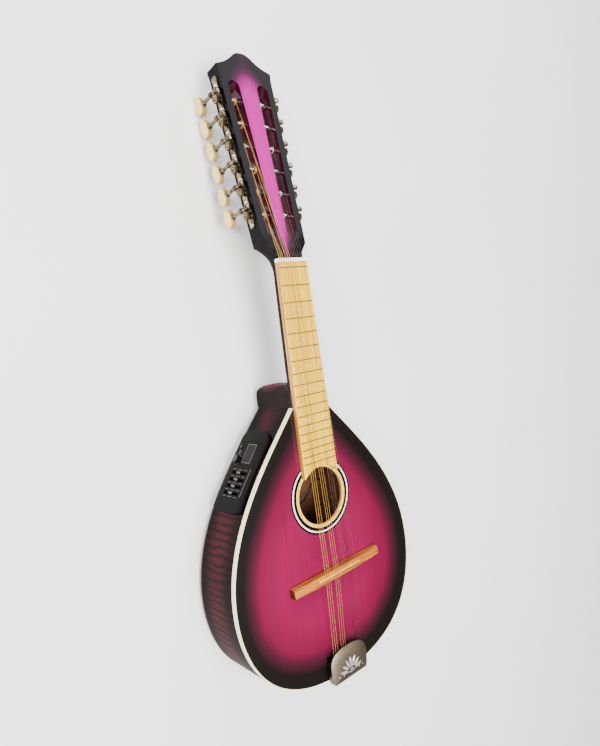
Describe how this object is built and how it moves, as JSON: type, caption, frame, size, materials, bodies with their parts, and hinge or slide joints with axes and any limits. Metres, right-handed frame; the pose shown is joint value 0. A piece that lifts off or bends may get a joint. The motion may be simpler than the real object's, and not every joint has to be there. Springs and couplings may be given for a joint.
{
  "type": "twelve-string mandolin",
  "caption": "Flat-backed, pear-shaped acoustic-electric mandolin with triple courses, a slotted head, a round soundhole and a preamp in its side.",
  "frame": {"origin": "centre of the bounding box in plan, on the surface that the instrument lies on with its back down", "axes": "+Y from the tail to the headstock, +Z out of the soundboard, +X to the treble side"},
  "size_m": [0.2668, 0.7222, 0.0861],
  "materials": {
    "back_lacquer": "gloss dark maroon lacquer",
    "bare_wood": "unfinished spruce",
    "battery": "unmarked satin jacket",
    "binding": "gloss cream",
    "black_plastic": "fine matte moulded black",
    "bone": "polished white bone",
    "bridge_wood": "satin orange-brown hardwood",
    "button": "pearl cream",
    "lacquer_head": "gloss magenta lacquer fading to near black at the edge",
    "lacquer_side": "gloss dark maroon lacquer",
    "lacquer_top": "gloss translucent crimson lacquer on spruce with a dark burst at the edge",
    "lead": "matte insulation",
    "maple_board": "satin clear lacquer on fine straight grain",
    "nickel": "polished nickel plate",
    "plain_string": "drawn steel wire",
    "rosette": "gloss rings of black, white and cream",
    "steel": "plated steel, satin",
    "wound_string": "bronze winding"
  },
  "bodies": {
    "mandolin_body": {"back_bracing": "bare_wood", "back_plate": "back_lacquer", "battery": "battery", "binding": "binding", "bridge": "bridge_wood", "fingerboard": "maple_board", "headstock": "lacquer_head", "neck": "lacquer_side", "neck_block": "bare_wood", "nut": "bone", "output_jack": "nickel", "pickup_harness": "lead", "preamp_housing": "black_plastic", "preamp_panel": "black_plastic", "rosette": "rosette", "saddle": "bone", "side_ribs": "lacquer_side", "soundboard": "lacquer_top", "string_course_1": "wound_string", "string_course_2": "wound_string", "string_course_3": "plain_string", "string_course_4": "plain_string", "tail_block": "bare_wood", "tailpiece_base": "nickel", "top_bracing": "bare_wood", "truss_rod": "steel", "tuner_plate_bass": "nickel", "tuner_plate_treble": "nickel"},
    "battery_door": {"battery_door": "black_plastic"},
    "eq_slider_1": {"eq_slider_1": "black_plastic"},
    "eq_slider_2": {"eq_slider_2": "black_plastic"},
    "eq_slider_3": {"eq_slider_3": "black_plastic"},
    "eq_slider_4": {"eq_slider_4": "black_plastic"},
    "key_bass_1": {"key_bass_1": "button"},
    "key_bass_2": {"key_bass_2": "button"},
    "key_bass_3": {"key_bass_3": "button"},
    "key_bass_4": {"key_bass_4": "button"},
    "key_bass_5": {"key_bass_5": "button"},
    "key_bass_6": {"key_bass_6": "button"},
    "key_treble_1": {"key_treble_1": "button"},
    "key_treble_2": {"key_treble_2": "button"},
    "key_treble_3": {"key_treble_3": "button"},
    "key_treble_4": {"key_treble_4": "button"},
    "key_treble_5": {"key_treble_5": "button"},
    "key_treble_6": {"key_treble_6": "button"},
    "roller_bass_1": {"roller_bass_1": "steel"},
    "roller_bass_2": {"roller_bass_2": "steel"},
    "roller_bass_3": {"roller_bass_3": "steel"},
    "roller_bass_4": {"roller_bass_4": "steel"},
    "roller_bass_5": {"roller_bass_5": "steel"},
    "roller_bass_6": {"roller_bass_6": "steel"},
    "roller_treble_1": {"roller_treble_1": "steel"},
    "roller_treble_2": {"roller_treble_2": "steel"},
    "roller_treble_3": {"roller_treble_3": "steel"},
    "roller_treble_4": {"roller_treble_4": "steel"},
    "roller_treble_5": {"roller_treble_5": "steel"},
    "roller_treble_6": {"roller_treble_6": "steel"},
    "tailpiece_cover": {"tailpiece_cover": "nickel"},
    "tuner_button": {"tuner_button": "black_plastic"},
    "volume_knob": {"volume_knob": "black_plastic"}
  },
  "joints": [
    {"name": "key_bass_1_turn", "type": "hinge", "parent": "mandolin_body", "child": "key_bass_1", "pos_m": [-0.03686, 0.19094, 0.06383], "axis": [0, 0.149, 0.9888], "continuous": true},
    {"name": "roller_bass_1_turn", "type": "hinge", "parent": "mandolin_body", "child": "roller_bass_1", "pos_m": [-0.03065, 0.18246, 0.056], "axis": [-0.9996, -0.029, 0.0044], "continuous": true},
    {"name": "key_bass_2_turn", "type": "hinge", "parent": "mandolin_body", "child": "key_bass_2", "pos_m": [-0.03761, 0.21606, 0.06004], "axis": [0, 0.149, 0.9888], "continuous": true},
    {"name": "roller_bass_2_turn", "type": "hinge", "parent": "mandolin_body", "child": "roller_bass_2", "pos_m": [-0.03139, 0.20758, 0.05222], "axis": [-0.9996, -0.029, 0.0044], "continuous": true},
    {"name": "key_bass_3_turn", "type": "hinge", "parent": "mandolin_body", "child": "key_bass_3", "pos_m": [-0.03836, 0.24118, 0.05626], "axis": [0, 0.149, 0.9888], "continuous": true},
    {"name": "roller_bass_3_turn", "type": "hinge", "parent": "mandolin_body", "child": "roller_bass_3", "pos_m": [-0.03214, 0.2327, 0.04843], "axis": [-0.9996, -0.029, 0.0044], "continuous": true},
    {"name": "key_bass_4_turn", "type": "hinge", "parent": "mandolin_body", "child": "key_bass_4", "pos_m": [-0.0391, 0.26629, 0.05247], "axis": [0, 0.149, 0.9888], "continuous": true},
    {"name": "roller_bass_4_turn", "type": "hinge", "parent": "mandolin_body", "child": "roller_bass_4", "pos_m": [-0.03289, 0.25781, 0.04465], "axis": [-0.9996, -0.029, 0.0044], "continuous": true},
    {"name": "key_bass_5_turn", "type": "hinge", "parent": "mandolin_body", "child": "key_bass_5", "pos_m": [-0.03985, 0.29141, 0.04869], "axis": [0, 0.149, 0.9888], "continuous": true},
    {"name": "roller_bass_5_turn", "type": "hinge", "parent": "mandolin_body", "child": "roller_bass_5", "pos_m": [-0.03363, 0.28293, 0.04086], "axis": [-0.9996, -0.029, 0.0044], "continuous": true},
    {"name": "key_bass_6_turn", "type": "hinge", "parent": "mandolin_body", "child": "key_bass_6", "pos_m": [-0.04059, 0.31653, 0.0449], "axis": [0, 0.149, 0.9888], "continuous": true},
    {"name": "roller_bass_6_turn", "type": "hinge", "parent": "mandolin_body", "child": "roller_bass_6", "pos_m": [-0.03438, 0.30805, 0.03708], "axis": [-0.9996, -0.029, 0.0044], "continuous": true},
    {"name": "key_treble_1_turn", "type": "hinge", "parent": "mandolin_body", "child": "key_treble_1", "pos_m": [0.03686, 0.19094, 0.06383], "axis": [0, 0.149, 0.9888], "continuous": true},
    {"name": "roller_treble_1_turn", "type": "hinge", "parent": "mandolin_body", "child": "roller_treble_1", "pos_m": [0.03065, 0.18246, 0.056], "axis": [0.9996, -0.029, 0.0044], "continuous": true},
    {"name": "key_treble_2_turn", "type": "hinge", "parent": "mandolin_body", "child": "key_treble_2", "pos_m": [0.03761, 0.21606, 0.06004], "axis": [0, 0.149, 0.9888], "continuous": true},
    {"name": "roller_treble_2_turn", "type": "hinge", "parent": "mandolin_body", "child": "roller_treble_2", "pos_m": [0.03139, 0.20758, 0.05222], "axis": [0.9996, -0.029, 0.0044], "continuous": true},
    {"name": "key_treble_3_turn", "type": "hinge", "parent": "mandolin_body", "child": "key_treble_3", "pos_m": [0.03836, 0.24118, 0.05626], "axis": [0, 0.149, 0.9888], "continuous": true},
    {"name": "roller_treble_3_turn", "type": "hinge", "parent": "mandolin_body", "child": "roller_treble_3", "pos_m": [0.03214, 0.2327, 0.04843], "axis": [0.9996, -0.029, 0.0044], "continuous": true},
    {"name": "key_treble_4_turn", "type": "hinge", "parent": "mandolin_body", "child": "key_treble_4", "pos_m": [0.0391, 0.26629, 0.05247], "axis": [0, 0.149, 0.9888], "continuous": true},
    {"name": "roller_treble_4_turn", "type": "hinge", "parent": "mandolin_body", "child": "roller_treble_4", "pos_m": [0.03289, 0.25781, 0.04465], "axis": [0.9996, -0.029, 0.0044], "continuous": true},
    {"name": "key_treble_5_turn", "type": "hinge", "parent": "mandolin_body", "child": "key_treble_5", "pos_m": [0.03985, 0.29141, 0.04869], "axis": [0, 0.149, 0.9888], "continuous": true},
    {"name": "roller_treble_5_turn", "type": "hinge", "parent": "mandolin_body", "child": "roller_treble_5", "pos_m": [0.03363, 0.28293, 0.04086], "axis": [0.9996, -0.029, 0.0044], "continuous": true},
    {"name": "key_treble_6_turn", "type": "hinge", "parent": "mandolin_body", "child": "key_treble_6", "pos_m": [0.04059, 0.31653, 0.0449], "axis": [0, 0.149, 0.9888], "continuous": true},
    {"name": "roller_treble_6_turn", "type": "hinge", "parent": "mandolin_body", "child": "roller_treble_6", "pos_m": [0.03438, 0.30805, 0.03708], "axis": [0.9996, -0.029, 0.0044], "continuous": true},
    {"name": "volume_turn", "type": "hinge", "parent": "mandolin_body", "child": "volume_knob", "pos_m": [-0.07152, -0.07794, 0.0219], "axis": [-0.7885, 0.615, 0], "range_deg": [-150, 150]},
    {"name": "tuner_button_press", "type": "slide", "parent": "mandolin_body", "child": "tuner_button", "axis": [0.7885, -0.615, 0], "range_m": [0, 0.0012], "stiffness_N_per_m": 300},
    {"name": "eq_slider_1_move", "type": "slide", "parent": "mandolin_body", "child": "eq_slider_1", "axis": [0, 0, 1], "range_m": [-0.01, 0.01]},
    {"name": "eq_slider_2_move", "type": "slide", "parent": "mandolin_body", "child": "eq_slider_2", "axis": [0, 0, 1], "range_m": [-0.01, 0.01]},
    {"name": "eq_slider_3_move", "type": "slide", "parent": "mandolin_body", "child": "eq_slider_3", "axis": [0, 0, 1], "range_m": [-0.01, 0.01]},
    {"name": "eq_slider_4_move", "type": "slide", "parent": "mandolin_body", "child": "eq_slider_4", "axis": [0, 0, 1], "range_m": [-0.01, 0.01]},
    {"name": "battery_door_swing", "type": "hinge", "parent": "mandolin_body", "child": "battery_door", "pos_m": [-0.05854, -0.0613, 0.03725], "axis": [0, 0, 1], "range_deg": [0, 100]},
    {"name": "tailpiece_cover_slide", "type": "slide", "parent": "mandolin_body", "child": "tailpiece_cover", "axis": [0, -1, 0], "range_m": [0, 0.03]}
  ],
  "couplings": [
    {"joint": "roller_bass_1_turn", "follows": "key_bass_1_turn", "ratio": -0.071429},
    {"joint": "roller_bass_2_turn", "follows": "key_bass_2_turn", "ratio": -0.071429},
    {"joint": "roller_bass_3_turn", "follows": "key_bass_3_turn", "ratio": -0.071429},
    {"joint": "roller_bass_4_turn", "follows": "key_bass_4_turn", "ratio": -0.071429},
    {"joint": "roller_bass_5_turn", "follows": "key_bass_5_turn", "ratio": -0.071429},
    {"joint": "roller_bass_6_turn", "follows": "key_bass_6_turn", "ratio": -0.071429},
    {"joint": "roller_treble_1_turn", "follows": "key_treble_1_turn", "ratio": 0.071429},
    {"joint": "roller_treble_2_turn", "follows": "key_treble_2_turn", "ratio": 0.071429},
    {"joint": "roller_treble_3_turn", "follows": "key_treble_3_turn", "ratio": 0.071429},
    {"joint": "roller_treble_4_turn", "follows": "key_treble_4_turn", "ratio": 0.071429},
    {"joint": "roller_treble_5_turn", "follows": "key_treble_5_turn", "ratio": 0.071429},
    {"joint": "roller_treble_6_turn", "follows": "key_treble_6_turn", "ratio": 0.071429}
  ]
}
